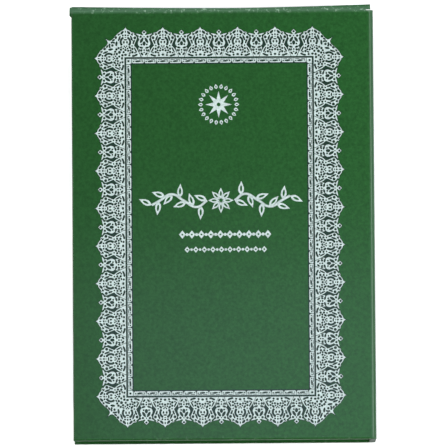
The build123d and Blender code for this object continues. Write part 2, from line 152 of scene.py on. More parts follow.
def printedPaper():
    look = wrapLook
    wear = look["wearWidth"] * mm
    material, tree, shader, place = newMaterial("satinPrintedPaper", {
        "IOR": 1.45, "Specular IOR Level": 0.05, "Coat Roughness": 0.15})
    x, y, _ = addNode(tree, "ShaderNodeSeparateXYZ", {0: place}).outputs
    patch = addNode(tree, "ShaderNodeTexNoise", {
        "Vector": place, "Scale": 1 / (look["patch"] * mm), "Detail": 6.0, "Roughness": 0.65})
    mottle = addNode(tree, "ShaderNodeMapRange", {
        0: patch.outputs[0], 1: look["patchRange"][0], 2: look["patchRange"][1]})
    ink = addNode(tree, "ShaderNodeMix", {
        0: mottle.outputs[0], 6: linear(look["tones"][0]), 7: linear(look["tones"][1])}, data_type="RGBA")
    # painted shade: darker towards the fore-edge
    sideShade = addNode(tree, "ShaderNodeMapRange", {
        0: x, 1: -halfWidth, 2: halfWidth, 3: look["sideShade"][0], 4: look["sideShade"][1]})
    ink = addNode(tree, "ShaderNodeVectorMath", {
        0: ink.outputs[2], "Scale": sideShade.outputs[0]}, operation="SCALE")
    # rubbed lighter on the bend beside the spine, partly a painted highlight on its rounding
    bend = addNode(tree, "ShaderNodeMapRange", {
        0: x, 1: look["bend"][0] * mm, 2: look["bend"][1] * mm, 3: 0.0, 4: look["bendRubAndHighlight"]},
        interpolation_type="SMOOTHSTEP")
    # varnish gone from the head and tail edges
    out = addNode(tree, "ShaderNodeMath", {0: y}, operation="ABSOLUTE")
    varnish = addNode(tree, "ShaderNodeMapRange", {
        0: out.outputs[0], 1: halfHeight - look["bareEdge"][0] * mm,
        2: halfHeight - look["bareEdge"][1] * mm, 3: look["varnish"], 4: 0.0})
    tree.links.new(varnish.outputs[0], shader.inputs["Coat Weight"])
    # rubbed along the head edge, less and less on the lip past it
    head = addNode(tree, "ShaderNodeMapRange", {
        0: y, 1: halfHeight - wear, 2: halfHeight, 3: 0.0, 4: look["headRub"]},
        interpolation_type="SMOOTHSTEP")
    past = addNode(tree, "ShaderNodeMapRange", {
        0: y, 1: halfHeight + look["lipStart"] * mm, 2: halfHeight + wear, 3: 1.0, 4: 0.0})
    head = addNode(tree, "ShaderNodeMath", {0: head.outputs[0], 1: past.outputs[0]}, operation="MULTIPLY")
    rubAndHighlight = addNode(tree, "ShaderNodeMath", {
        0: bend.outputs[0], 1: head.outputs[0]}, operation="MAXIMUM")
    rubbedAndHighlit = addNode(tree, "ShaderNodeMix", {
        0: rubAndHighlight.outputs[0], 6: ink.outputs[0], 7: linear(look["rubbedAndHighlit"])}, data_type="RGBA")
    # flecks at the head and tail edges where the ink is worn through
    fleck = addNode(tree, "ShaderNodeTexNoise", {
        "Vector": place, "Scale": 1 / (look["wearGrain"] * mm), "Detail": 5.0, "Roughness": 0.7})
    through = addNode(tree, "ShaderNodeMapRange", {
        0: fleck.outputs[0], 1: look["wornRange"][0], 2: look["wornRange"][1], 3: 0.0, 4: 1.0})
    tail = addNode(tree, "ShaderNodeMapRange", {
        0: y, 1: -halfHeight + wear, 2: -halfHeight, 3: 0.0, 4: look["tailRub"]})
    edges = addNode(tree, "ShaderNodeMath", {0: head.outputs[0], 1: tail.outputs[0]}, operation="MAXIMUM")
    worn = addNode(tree, "ShaderNodeMath", {
        0: edges.outputs[0], 1: through.outputs[0]}, operation="MULTIPLY")
    colour = addNode(tree, "ShaderNodeMix", {
        0: worn.outputs[0], 6: rubbedAndHighlit.outputs[2], 7: linear(look["worn"])}, data_type="RGBA")
    tree.links.new(colour.outputs[2], shader.inputs["Base Color"])
    addGrain(tree, shader, place, look)
    return material


wrapPaper = printedPaper()
# silver printing ink: pale, faintly metallic, a little uneven
silverInk = mottled("silverPrintingInk", {
    "tones": ("#5D6765", "#ACBDB9"), "patch": 0.45, "grain": 0.15, "rough": (0.42, 0.55), "bump": 0.1,
    "depth": 0.01}, {"Metallic": 0.1, "IOR": 1.5})
# dark green underprint that shows in the openings of the silver and between its motifs
groundInk = mottled("darkGreenInk", {
    "tones": ("#0C1D16", "#12271E"), "patch": 0.9, "grain": 0.2, "rough": (0.45, 0.55), "bump": 0.1,
    "depth": 0.01}, {"IOR": 1.45, "Specular IOR Level": 0.05, "Coat Weight": 0.3, "Coat Roughness": 0.15})
# pressed greyboard: pulp grey with brown fibre, dull
greyboard = mottled("pressedGreyboard", {
    "tones": ("#6F675C", "#9A9184"), "patch": 0.8, "grain": 0.2, "rough": (0.8, 0.95), "bump": 0.6,
    "depth": 0.05}, {"IOR": 1.45})
# uncoated dyed paper on the tray: dark green, soft; also laid on the spine panel's ends as painted shade
trayPaper = mottled("dyedTrayPaper", {
    "tones": ("#12291A", "#1B3A24"), "patch": 1.2, "grain": 0.18, "rough": (0.7, 0.85), "bump": 0.3,
    "depth": 0.02}, {"IOR": 1.45})
# cream endpaper: warm, slightly flecked
creamPaper = mottled("creamEndpaper", {
    "tones": ("#A59C84", "#B8AF98"), "patch": 3.0, "grain": 0.16, "rough": (0.75, 0.9), "bump": 0.3,
    "depth": 0.02}, {"IOR": 1.45})
# flocked sheet: short fibre, dark face on, lighter at grazing angles
deckFlock = mottled("greenFlock", {
    "tones": ("#0C2514", "#1A4325"), "patch": 0.5, "grain": 0.12, "rough": (0.9, 1.0), "bump": 0.9,
    "depth": 0.08}, {"Sheen Weight": 0.6, "Sheen Roughness": 0.4, "Sheen Tint": linear("#7FA489")})
# lacquered turned brass: warm, ringed by the tool, with soft blotches where the lacquer has thinned
turnedBrass = mottled("turnedBrass", {
    "tones": ("#80602B", "#977439"), "patch": 2.0, "grain": 0.16, "turned": True, "rough": (0.24, 0.46),
    "bump": 0.5, "depth": 0.012}, {"Metallic": 1.0})
# drawn brass of the needle's hub and clip: the same warm tone, smoother
plainBrass = mottled("drawnBrass", {
    "tones": ("#80602B", "#977439"), "patch": 2.0, "grain": 0.1, "rough": (0.28, 0.42), "bump": 0.12,
    "depth": 0.01}, {"Metallic": 1.0})
# bright steel of wire and screws: cool and smooth
brightSteel = mottled("brightSteel", {
    "tones": ("#6B6C6C", "#868786"), "patch": 0.8, "grain": 0.08, "rough": (0.26, 0.38), "bump": 0.1,
    "depth": 0.008}, {"Metallic": 1.0})
# fired green enamel: glassy with slight orange peel
greenEnamel = mottled("greenEnamel", {
    "tones": ("#07351A", "#0C4122"), "patch": 1.0, "grain": 0.5, "rough": (0.14, 0.22), "bump": 0.08,
    "depth": 0.02}, {"IOR": 1.52})
# ivory dial enamel: warm, low gloss
dialEnamel = mottled("ivoryEnamel", {
    "tones": ("#968F7A", "#A49D88"), "patch": 4.0, "grain": 0.3, "rough": (0.35, 0.45), "bump": 0.05,
    "depth": 0.01}, {"IOR": 1.5})
# black ink of its scale: dull
dialInk = mottled("blackDialInk", {
    "tones": ("#0E0E10", "#18181A"), "patch": 0.6, "grain": 0.1, "rough": (0.5, 0.6), "bump": 0.05,
    "depth": 0.005}, {"IOR": 1.5})
# natural nylon washer: milky
milkyNylon = mottled("naturalNylon", {
    "tones": ("#8D8A80", "#9A978D"), "patch": 2.0, "grain": 0.2, "rough": (0.45, 0.55), "bump": 0.1,
    "depth": 0.01}, {"IOR": 1.53})
# uncoated card of the booklet: mid green, dull
greenCard = mottled("greenBookletCard", {
    "tones": ("#1E4127", "#284D31"), "patch": 1.5, "grain": 0.2, "rough": (0.6, 0.75), "bump": 0.3,
    "depth": 0.02}, {"IOR": 1.45})
# flat polished glass: clear
clearGlass = mottled("clearGlass", {
    "tones": ("#F6FAF8", "#FFFFFF"), "patch": 5.0, "grain": 0.8, "rough": (0.0, 0.03), "bump": 0.01,
    "depth": 0.005}, {"Transmission Weight": 1.0, "IOR": 1.5})
# polished synthetic ruby: deep red, half clear
ruby = mottled("syntheticRuby", {
    "tones": ("#7E0E22", "#A3152E"), "patch": 0.5, "grain": 0.2, "rough": (0.03, 0.08), "bump": 0.02,
    "depth": 0.005}, {"Transmission Weight": 0.5, "IOR": 1.77})


def layeredPages():
    # cut edges of the sheets show as fine lines, drawn coarser than real sheets so that they show
    look = {"sheet": 0.12, "patch": 0.7, "tones": ("#A39B86", "#7A725E"), "grain": 0.15,
            "rough": (0.8, 0.9), "bump": 0.2, "depth": 0.02}
    material, tree, shader, place = newMaterial("bookPaperBlock", {"IOR": 1.45})
    axes = addNode(tree, "ShaderNodeSeparateXYZ", {0: place})
    sheet = addNode(tree, "ShaderNodeMath", {
        0: axes.outputs[2], 1: 1 / (look["sheet"] * mm)}, operation="MULTIPLY")
    line = addNode(tree, "ShaderNodeMath", {0: sheet.outputs[0]}, operation="FRACT")
    fleck = addNode(tree, "ShaderNodeTexNoise", {"Vector": place, "Scale": 1 / (look["patch"] * mm)})
    mixed = addNode(tree, "ShaderNodeMath", {0: line.outputs[0], 1: fleck.outputs[0]}, operation="MULTIPLY")
    colour = addNode(tree, "ShaderNodeMix", {
        0: mixed.outputs[0], 6: linear(look["tones"][0]), 7: linear(look["tones"][1])}, data_type="RGBA")
    tree.links.new(colour.outputs[2], shader.inputs["Base Color"])
    addGrain(tree, shader, place, look)
    return material


def needleFinish():
    # heat-blued steel, the north arm lacquered red
    look = {"blue": ("#141F4A", "#25397C"), "red": ("#9E1118", "#B81C20"), "patch": 3.0, "grain": 0.1,
            "rough": (0.25, 0.35), "bump": 0.05, "depth": 0.005}
    material, tree, shader, place = newMaterial("bluedSteelRedNorth", {"Metallic": 0.75})
    axes = addNode(tree, "ShaderNodeSeparateXYZ", {0: place})
    north = addNode(tree, "ShaderNodeMath", {0: axes.outputs[1], 1: compassY}, operation="GREATER_THAN")
    tint = addNode(tree, "ShaderNodeTexNoise", {
        "Vector": place, "Scale": 1 / (look["patch"] * mm), "Detail": 3.0})
    south, red = [addNode(tree, "ShaderNodeMix", {
        0: tint.outputs[0], 6: linear(look[arm][0]), 7: linear(look[arm][1])}, data_type="RGBA").outputs[2]
        for arm in ("blue", "red")]
    colour = addNode(tree, "ShaderNodeMix", {0: north.outputs[0], 6: south, 7: red}, data_type="RGBA")
    tree.links.new(colour.outputs[2], shader.inputs["Base Color"])
    addGrain(tree, shader, place, look)
    return material


nodeFinish = {
    wrapPaper: ("back_wrap", "front_wrap", "spine_wrap"),
    greyboard: ("back_board", "front_board", "spine_board", "tray_floor", "tray_wall_left",
                "tray_wall_right", "tray_wall_top", "tray_wall_bottom", "deck_rail_left", "deck_rail_right",
                "deck_board"),
    trayPaper: ("tray_wrap",),
    creamPaper: ("back_liner", "spine_liner", "front_endpaper", "index_pocket"),
    deckFlock: ("deck_sheet",),
    turnedBrass: ("compass_cup", "setting_ring"),
    plainBrass: ("needle_hub", "balance_clip"),
    brightSteel: ("flange_screws", "pointer_rivets", "pivot_pin", "lens_retainer", "setting_clip",
                  "booklet_staples"),
    greenEnamel: ("qibla_pointer",),
    dialEnamel: ("dial", "spacer_ring"),
    milkyNylon: ("friction_washer",),
    clearGlass: ("lens",),
    ruby: ("needle_jewel",),
    needleFinish(): ("needle_blade",),
    greenCard: ("booklet_cover",),
    layeredPages(): ("booklet_pages",),
}
for material, names in nodeFinish.items():
    for name in names:
        nodes[name].data.materials.clear()
        nodes[name].data.materials.append(material)
print("materials on", sum(len(names) for names in nodeFinish.values()), "of", len(nodes), "nodes")


def newPiece(name, mesh, material=None):
    piece = bpy.data.objects.new(name, mesh)
    bpy.context.collection.objects.link(piece)
    if material:
        mesh.materials.clear()
        mesh.materials.append(material)
    return piece


def plainMesh(holder):
    bpy.context.view_layer.update()
    depsgraph = bpy.context.evaluated_depsgraph_get()
    mesh = bpy.data.meshes.new_from_object(holder.evaluated_get(depsgraph), depsgraph=depsgraph)
    bpy.data.objects.remove(holder)
    return mesh


def wound(loop, turn):
    # turn is 1 for counterclockwise, -1 for clockwise
    area = sum(loop[i - 1][0] * loop[i][1] - loop[i][0] * loop[i - 1][1] for i in range(len(loop)))
    return loop if area * turn > 0 else loop[::-1]


coarse, fine = 2, 3  # curve steps between two points of an outline
drawnDepth = 0.05  # half a drawing's thickness in its own units, until layPrint presses it


def flatShape(name, outlines, cuts=(), spread=0.0, steps=fine):
    # filled outlines with holes, fattened by spread; a point is (x, y), or (x, y, 1) at a sharp corner
    curve = bpy.data.curves.new(name, "CURVE")
    curve.dimensions = "2D"
    curve.fill_mode = "BOTH"
    curve.extrude = drawnDepth
    curve.resolution_u = steps
    curve.offset = spread
    for loop in [wound(loop, -1) for loop in outlines] + [wound(loop, 1) for loop in cuts]:
        spline = curve.splines.new("BEZIER")
        spline.use_cyclic_u = True
        spline.bezier_points.add(len(loop) - 1)
        for point, spot in zip(spline.bezier_points, loop):
            point.co = (spot[0], spot[1], 0)
        for point, spot in zip(spline.bezier_points, loop):
            kind = "VECTOR" if len(spot) > 2 else "AUTO"
            point.handle_left_type = kind
            point.handle_right_type = kind
    holder = bpy.data.objects.new(name, curve)
    bpy.context.collection.objects.link(holder)
    return plainMesh(holder)


def mirrored(loop):
    return [(-spot[0],) + tuple(spot[1:]) for spot in reversed(loop)]


def swapped(loop):
    return [(spot[1], spot[0]) + tuple(spot[2:]) for spot in reversed(loop)]


def bothSides(loops):
    return loops + [mirrored(loop) for loop in loops]


def dot(x, y, rx, ry=None):
    ry = ry or rx
    return [(x + rx, y), (x, y + ry), (x - rx, y), (x, y - ry)]


def slit(x0, y0, x1, y1, width):
    # a long cut with round ends
    start, end = Vector((x0, y0)), Vector((x1, y1))
    along = (end - start).normalized() * width / 2
    side = Vector((-along.y, along.x))
    return [tuple(spot) for spot in (
        start, start + along - side, end - along - side, end, end - along + side, start + along + side)]


def crescent(x, y, outer, inner, start, end, steps=6):
    turns = [math.radians(start + (end - start) * i / steps) for i in range(steps + 1)]
    rim = [(x + outer * math.cos(t), y + outer * math.sin(t)) for t in turns]
    core = [(x + inner * math.cos(t), y + inner * math.sin(t)) for t in reversed(turns)]
    return rim + core


def newTree(name, inputs):
    tree = bpy.data.node_groups.new(name, "GeometryNodeTree")
    inputs = [*inputs, ("Ink", "Material")]
    for label, kind in inputs:
        tree.interface.new_socket(label, in_out="INPUT", socket_type="NodeSocket" + kind)
    tree.interface.new_socket("Print", in_out="OUTPUT", socket_type="NodeSocketGeometry")
    sockets = addNode(tree, "NodeGroupInput").outputs
    given = {label: sockets[label] for label, kind in inputs}
    # an object is handed on as its geometry
    for label, kind in inputs:
        if kind == "Object":
            given[label] = addNode(tree, "GeometryNodeObjectInfo", {0: sockets[label]}).outputs["Geometry"]
    return tree, given


def closeTree(tree, given, geometry):
    real = addNode(tree, "GeometryNodeRealizeInstances", {0: geometry})
    inked = addNode(tree, "GeometryNodeSetMaterial", {"Geometry": real.outputs[0], "Material": given["Ink"]})
    addNode(tree, "NodeGroupOutput", {0: inked.outputs[0]})
    return tree


def motifRow(tree, motif, number, gap, out=0.0, scale=(1, 1, 1)):
    # a row of copies with its middle on the axis, moved out from it
    steps = addNode(tree, "ShaderNodeMath", {0: number, 1: 1.0}, operation="SUBTRACT").outputs[0]
    span = addNode(tree, "ShaderNodeMath", {0: steps, 1: gap}, operation="MULTIPLY").outputs[0]
    left = addNode(tree, "ShaderNodeMath", {0: span, 1: -0.5}, operation="MULTIPLY").outputs[0]
    start = addNode(tree, "ShaderNodeCombineXYZ", {0: left, 1: out}).outputs[0]
    hop = addNode(tree, "ShaderNodeCombineXYZ", {0: gap}).outputs[0]
    row = addNode(tree, "GeometryNodeMeshLine", {"Count": number, "Start Location": start, "Offset": hop})
    return addNode(tree, "GeometryNodeInstanceOnPoints", {
        "Points": row.outputs[0], "Instance": motif, "Scale": scale}).outputs[0]


def grow(tree, name, values):
    # the motif meshes go in as throwaway objects
    motifs = {key: newPiece(key, mesh) for key, mesh in values.items() if isinstance(mesh, bpy.types.Mesh)}
    values = {**values, **motifs}
    holder = newPiece(name + "Holder", bpy.data.meshes.new(name))
    modifier = holder.modifiers.new("grow", "NODES")
    modifier.node_group = tree
    for item in tree.interface.items_tree:
        if item.in_out == "INPUT":
            modifier[item.identifier] = values[item.name]
    mesh = plainMesh(holder)
    for motif in motifs.values():
        bpy.data.objects.remove(motif)
    return mesh


def layPrint(name, mesh, scale, place, body, thickness):
    # drawing units to metres, pressed flat to the ink's thickness, laid at a place in the frame
    tallest = max(v.co.z for v in mesh.vertices)
    mesh.transform(Matrix.Translation(place) @ Matrix.Diagonal((scale, scale, thickness / 2 / tallest, 1)))
    mesh.update()
    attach(newPiece(name, mesh), body)
    print(name, len(mesh.polygons), "faces")


# the border is drawn on a grid, gridUnits to one repeat of palmette and drop; levels in ink thicknesses
border = {
    "pitch": 8.77, "gridUnits": 37.7, "acrossUnits": 37.28, "alongUnits": 37.52, "across": 5, "along": 9,
    "shift": (-0.79, -0.57), "reach": 0.97, "linksPerRepeat": 3, "groundSpread": 0.25, "groundLevel": -0.3,
    "silverSpread": -0.2, "silverLevel": 0.0, "stripGround": (1.0, -6.2), "stripLevel": -0.15}
inkThickness = 0.04 * mm  # thicker than real ink, to stay clear of the paper
inkLift = 0.25  # share of it from the paper's face up to the middle of the print
inkLevel = coverTop + inkLift * inkThickness

palmetteTip = (0, 33.2, 1)
palmetteSide = [
    (0.3, 31.6), (1.2, 30.4), (1.7, 29.7, 1), (3.3, 29.2), (5.3, 27.7), (6.4, 26.7, 1), (7.9, 26.8),
    (9.2, 26.0), (9.0, 24.7, 1), (10.6, 23.5), (12.0, 21.4), (11.7, 19.9), (10.5, 17.0), (9.3, 14.0),
    (9.0, 13.0, 1)]
palmetteFoot = [(10.2, 11.8), (12.0, 9.4), (13.6, 6.2), (15.1, 3.3), (15.8, 1.0, 1)]
crownCuts = [
    [(2.0, 28.1), (3.5, 27.7), (4.9, 26.2), (4.6, 24.9), (3.2, 25.3), (2.1, 26.6)],
    dot(2.7, 23.6, 0.8), slit(5.8, 25.4, 7.6, 23.7, 1.1), crescent(0, 16.9, 5.75, 4.0, 62, -40),
    dot(1.6, 16.6, 0.7, 1.25), slit(5.2, 23.2, 7.2, 18.0, 0.9), dot(7.6, 25.7, 0.4)]
crownMiddle = [
    dot(0, 23.9, 0.8), slit(-1.7, 19.2, 1.7, 19.2, 0.7), slit(-0.7, 21.7, 0.7, 21.7, 0.4),
    slit(0, 28.6, 0, 26.4, 0.6)]
flankCuts = [
    dot(9.7, 21.1, 1.3, 1.4),
    [(9.6, 18.6), (8.9, 16.4), (8.0, 14.7), (7.5, 15.6), (7.8, 17.2), (8.5, 18.6)], dot(6.9, 12.8, 0.65)]
footCuts = [
    slit(3.5, 12.4, 5.4, 9.9, 1.5), dot(1.2, 12.5, 0.6), dot(7.2, 9.7, 1.0), dot(5.3, 8.0, 0.9),
    dot(2.8, 7.9, 0.95), dot(7.2, 6.3, 1.1), slit(3.6, 5.0, 5.6, 6.0, 1.0), dot(4.0, 3.1, 0.95),
    dot(9.8, 5.7, 0.7), slit(9.0, 10.9, 11.6, 5.9, 0.7), dot(2.2, 10.2, 0.7),
    [(6.9, 2.8), (9.3, 3.4), (11.7, 4.5), (12.4, 3.9), (9.9, 2.2), (7.2, 1.8)]]
footMiddle = [dot(0, 11.2, 0.6), dot(0, 8.6, 1.05), dot(0, 3.6, 1.25, 1.0)]
palmetteOutline = [palmetteTip] + palmetteSide + palmetteFoot + mirrored(palmetteSide + palmetteFoot)

dropTip = (0, 29.2, 1)
dropArm = [(2.6, 26.6, 1), (1.0, 24.3, 1), (2.0, 23.9), (3.4, 24.6), (5.6, 25.1), (8.4, 25.8, 1)]
dropBelly = [
    (7.0, 24.0), (5.4, 22.9), (5.9, 21.8), (5.8, 20.8), (4.9, 19.6, 1), (5.6, 18.0), (6.3, 16.2),
    (6.2, 14.2), (5.4, 12.7), (4.7, 11.9, 1), (5.6, 10.9), (5.8, 9.2)]
dropFoot = [(5.3, 7.0), (4.5, 5.2), (3.4, 3.0), (2.7, 1.0, 1)]
dropCuts = [
    slit(0.9, 21.0, 3.8, 16.0, 1.45), dot(2.7, 14.1, 0.75), dot(3.5, 22.2, 1.05),
    slit(1.2, 10.4, 4.6, 11.4, 1.2), slit(2.4, 9.2, 3.0, 6.9, 1.3), slit(1.1, 3.2, 3.2, 5.6, 1.2),
    slit(4.5, 9.3, 4.4, 6.9, 0.8)]
dropMiddle = [
    dot(0, 26.8, 0.95), dot(0, 15.2, 1.4, 2.1), dot(0, 8.4, 0.7), dot(0, 6.0, 0.6),
    slit(0, 22.9, 0, 21.6, 0.6)]
# under the drop the dark ground also fills the gaps to the palmettes beside it
gapBelly = [
    (7.4, 23.6), (6.1, 21.4), (6.4, 19.9), (7.6, 17.0), (8.8, 14.0), (9.1, 13.0, 1), (7.9, 11.8), (6.0, 9.4)]
dropOutline, dropGround = [
    [dropTip] + dropArm + belly + dropFoot + mirrored(dropArm + belly + dropFoot)
    for belly in (dropBelly, gapBelly)]

# the corner: the side's palmette turned through it, a bud and a thorn on the diagonal
cornerSide = palmetteSide[:3] + [
    (3.9, 28.6), (6.8, 26.6), (9.4, 24.1), (12.0, 21.0, 1), (14.0, 19.2), (15.9, 18.2, 1), (17.4, 18.6)]
cornerCuts = [
    dot(9.9, 21.5, 1.2, 1.3), slit(8.9, 17.6, 9.6, 12.8, 1.2), crescent(13.2, 13.2, 4.0, 2.6, 62, 126),
    slit(10.9, 19.7, 13.6, 17.9, 1.0), dot(4.6, 9.0, 1.1), dot(7.0, 10.6, 1.0), dot(1.9, 6.4, 1.0),
    slit(3.2, 12.0, 5.4, 11.2, 0.9), dot(1.2, 12.5, 0.6), dot(2.2, 10.2, 0.7)]
cornerMiddle = [
    dot(-3.0, -3.0, 1.0), dot(3.2, 3.2, 1.1), dot(6.2, 6.2, 1.35), dot(9.3, 9.3, 1.1), dot(13.4, 13.4, 1.1)]
cornerTop = mirrored(palmetteSide + palmetteFoot) + [palmetteTip] + cornerSide
cornerOutline = cornerTop + [(21.3, 21.3, 1)] + swapped(cornerTop) + [(1.0, 1.0, 1)]
cornerHalf = crownMiddle + footMiddle + crownCuts
cornerHalf += [mirrored(cut) for cut in crownCuts + flankCuts + footCuts] + cornerCuts

# the inner strip: slotted links that meet under each drop, a half link each way at the corner
linkHalf = border["gridUnits"] / border["linksPerRepeat"] / 2
stripTop, stripFoot = -0.5, -5.3
linkSide = [
    (linkHalf - 0.1, stripTop, 1), (linkHalf - 0.1, -2.6, 1), (linkHalf - 0.6, -4.6),
    (linkHalf - 1.4, stripFoot, 1)]
linkCuts = [
    slit(-2.7, -3.4, 2.7, -3.0, 0.9), slit(3.6, -3.0, 5.0, -3.0, 0.7), slit(-5.0, -3.4, -3.6, -3.4, 0.7),
    slit(-4.9, -1.6, -0.7, -1.6, 0.2), slit(0.7, -1.6, 4.9, -1.6, 0.2)]
turnOutline = [
    (stripTop, stripTop, 1), (stripTop, -linkHalf, 1), (stripFoot, -linkHalf, 1),
    (stripFoot, stripFoot, 1), (-linkHalf, stripFoot, 1), (-linkHalf, stripTop, 1)]

# outlines, cuts and curve steps of each motif
borderMotifs = {
    "Palmette": ([palmetteOutline],
                 crownMiddle + footMiddle + bothSides(crownCuts + flankCuts + footCuts), coarse),
    "Drop": ([dropOutline], dropMiddle + bothSides(dropCuts), fine),
    "Corner": ([cornerOutline, turnOutline],
               cornerMiddle + cornerHalf + [swapped(cut) for cut in cornerHalf], fine),
    "Link": ([linkSide + mirrored(linkSide)], linkCuts, coarse)}


def stripFrame():
    # one dark band under the strip, which shows as a thin line along both its sides
    halfAcross = border["across"] * border["acrossUnits"] / 2
    halfAlong = border["along"] * border["alongUnits"] / 2
    rim, core = [[(x * (halfAcross + out), y * (halfAlong + out), 1)
                  for x, y in ((1, 1), (-1, 1), (-1, -1), (1, -1))] for out in border["stripGround"]]
    band = flatShape("stripFrame", [rim], [core])
    band.materials.append(groundInk)
    return band


def borderTree():
    # motifs in rows along the four sides of a rectangle, one corner piece at each turn
    tree, given = newTree("arabesqueBorder", [
        ("Palmette", "Object"), ("Drop", "Object"), ("Link", "Object"), ("Corner", "Object"),
        ("Width", "Float"), ("Height", "Float"), ("Across", "Int"), ("Along", "Int"),
        ("Links Across", "Int"), ("Links Along", "Int"), ("Reach", "Float")])
    joined = addNode(tree, "GeometryNodeJoinGeometry")
    # the motifs reach out from the strip a little less than they are drawn
    reach = given["Reach"]
    rowScale = addNode(tree, "ShaderNodeCombineXYZ", {0: 1.0, 1: reach, 2: 1.0}).outputs[0]
    cornerScale = addNode(tree, "ShaderNodeCombineXYZ", {0: reach, 1: reach, 2: 1.0}).outputs[0]
    sides = (("Width", "Height", "Across", "Links Across"), ("Height", "Width", "Along", "Links Along")) * 2
    for turn, (length, depth, count, links) in enumerate(sides):
        heading = (0, 0, -turn * math.pi / 2)
        end, out = [
            addNode(tree, "ShaderNodeMath", {0: given[size], 1: 0.5}, operation="MULTIPLY").outputs[0]
            for size in (length, depth)]
        # the corner takes the place of one palmette and one link
        for motif, total, fewer in (("Palmette", count, 1.0), ("Drop", count, 0.0), ("Link", links, 1.0)):
            number = addNode(tree, "ShaderNodeMath", {0: given[total], 1: fewer}, operation="SUBTRACT")
            gap = addNode(tree, "ShaderNodeMath", {0: given[length], 1: given[total]}, operation="DIVIDE")
            row = motifRow(tree, given[motif], number.outputs[0], gap.outputs[0], out, rowScale)
            turned = addNode(tree, "GeometryNodeTransform", {"Geometry": row, "Rotation": heading})
            tree.links.new(turned.outputs[0], joined.inputs[0])
        spot = addNode(tree, "ShaderNodeCombineXYZ", {0: end, 1: out}).outputs[0]
        corner = addNode(tree, "GeometryNodeTransform", {
            "Geometry": given["Corner"], "Translation": spot, "Scale": cornerScale})
        turned = addNode(tree, "GeometryNodeTransform", {"Geometry": corner.outputs[0], "Rotation": heading})
        tree.links.new(turned.outputs[0], joined.inputs[0])
    return closeTree(tree, given, joined.outputs[0])


def layBorder(name, mesh, level):
    place = Vector((border["shift"][0] * mm, border["shift"][1] * mm, inkLevel + level * inkThickness))
    layPrint(name, mesh, border["pitch"] / border["gridUnits"] * mm, place, "cover", inkThickness)


def printBorder():
    across, along, links = border["across"], border["along"], border["linksPerRepeat"]
    tree = borderTree()
    sizes = {"Width": across * border["acrossUnits"], "Height": along * border["alongUnits"],
             "Across": across, "Along": along, "Links Across": across * links, "Links Along": along * links,
             "Reach": border["reach"]}
    # a dark green ground first, spread a little past the outlines, then the silver with its openings
    grounds = {motif: (outlines, (), steps) for motif, (outlines, cuts, steps) in borderMotifs.items()}
    grounds["Drop"] = ([dropGround], (), fine)
    for name, ink, drawn, spread, level in (
            ("borderGround", groundInk, grounds, border["groundSpread"], border["groundLevel"]),
            ("borderPrint", silverInk, borderMotifs, border["silverSpread"], border["silverLevel"])):
        motifs = {motif: flatShape(motif, outlines, cuts, spread, steps)
                  for motif, (outlines, cuts, steps) in drawn.items()}
        layBorder(name, grow(tree, name, {**motifs, **sizes, "Ink": ink}), level)
    layBorder("stripGround", stripFrame(), border["stripLevel"])


printBorder()


def ringTree():
    # copies of a motif round a circle, each turned to point outwards
    tree, given = newTree("ringOfMotifs", [("Motif", "Object"), ("Count", "Int"), ("Radius", "Float")])
    circle = addNode(tree, "GeometryNodeMeshCircle", {"Vertices": given["Count"], "Radius": given["Radius"]})
    index = addNode(tree, "GeometryNodeInputIndex")
    share = addNode(tree, "ShaderNodeMath", {0: index.outputs[0], 1: given["Count"]}, operation="DIVIDE")
    angle = addNode(tree, "ShaderNodeMath", {0: share.outputs[0], 1: math.tau}, operation="MULTIPLY")
    turn = addNode(tree, "ShaderNodeCombineXYZ", {2: angle.outputs[0]})
    placed = addNode(tree, "GeometryNodeInstanceOnPoints", {
        "Points": circle.outputs[0], "Instance": given["Motif"], "Rotation": turn.outputs[0]})
    return closeTree(tree, given, placed.outputs[0])


def rowTree():
    # two motifs taking turns along a line about the middle
    tree, given = newTree("rowOfMotifs", [
        ("Large", "Object"), ("Small", "Object"), ("Count", "Int"), ("Step", "Float")])
    joined = addNode(tree, "GeometryNodeJoinGeometry")
    for motif, fewer in (("Large", 0.0), ("Small", 1.0)):
        number = addNode(tree, "ShaderNodeMath", {0: given["Count"], 1: fewer}, operation="SUBTRACT")
        tree.links.new(motifRow(tree, given[motif], number.outputs[0], given["Step"]), joined.inputs[0])
    return closeTree(tree, given, joined.outputs[0])


